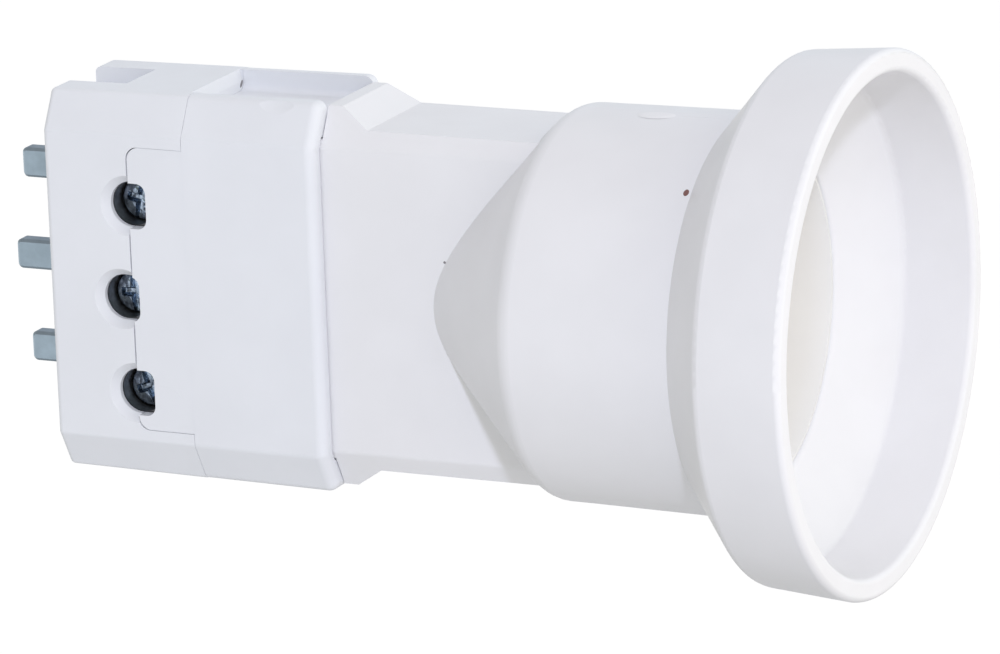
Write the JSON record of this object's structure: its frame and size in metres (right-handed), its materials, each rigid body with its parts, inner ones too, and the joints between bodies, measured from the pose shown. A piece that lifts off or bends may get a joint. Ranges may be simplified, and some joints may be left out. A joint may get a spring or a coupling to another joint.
{
  "type": "lamp holder plug",
  "caption": "Ceiling luminaire plug with a row of flat pins, joined to a pull-out lamp holder with flat neck, round barrel and flared bell mouth.",
  "frame": {"origin": "centre of the flat face that the pins stand out of", "axes": "+X from the pin face along the part's axis to the lamp mouth, +Z along the row of pins, -Y the side with the clamp screws' holes"},
  "size_m": [0.0919, 0.0522, 0.0522],
  "materials": {
    "casing": "satin white moulded thermoplastic",
    "holder": "satin white moulded thermoplastic",
    "sleeve": "cream heat-resistant moulding, slightly glossy",
    "insulator": "cream thermoset disc, matt",
    "pin_metal": "brass with dull nickel plating",
    "brass": "bare stamped brass",
    "steel": "dark zinc plated steel"
  },
  "bodies": {
    "plug": {"plug_base": "casing", "plug_collar": "casing", "line_pin": "pin_metal", "earth_pin": "pin_metal", "neutral_pin": "pin_metal", "line_clamp": "steel", "earth_clamp": "steel", "neutral_clamp": "steel"},
    "holder": {"holder_body": "holder", "thread_sleeve": "sleeve", "contact_base": "insulator", "centre_contact": "brass", "side_contact": "brass", "line_blade": "brass", "neutral_blade": "brass", "line_rivet": "brass", "neutral_rivet": "brass", "fixing_screws": "steel"},
    "line_screw": {"line_screw": "steel"},
    "earth_screw": {"earth_screw": "steel"},
    "neutral_screw": {"neutral_screw": "steel"}
  },
  "joints": [
    {"name": "holder_slide", "type": "slide", "parent": "plug", "child": "holder", "axis": [1, 0, 0], "range_m": [0, 0.0228]},
    {"name": "line_screw_turn", "type": "hinge", "parent": "plug", "child": "line_screw", "pos_m": [0.00905, -0.004, 0.0083], "axis": [0, -1, 0], "range_deg": [0, 720]},
    {"name": "earth_screw_turn", "type": "hinge", "parent": "plug", "child": "earth_screw", "pos_m": [0.0079, -0.004, -0.0011], "axis": [0, -1, 0], "range_deg": [0, 720]},
    {"name": "neutral_screw_turn", "type": "hinge", "parent": "plug", "child": "neutral_screw", "pos_m": [0.00905, -0.004, -0.0105], "axis": [0, -1, 0], "range_deg": [0, 720]}
  ]
}
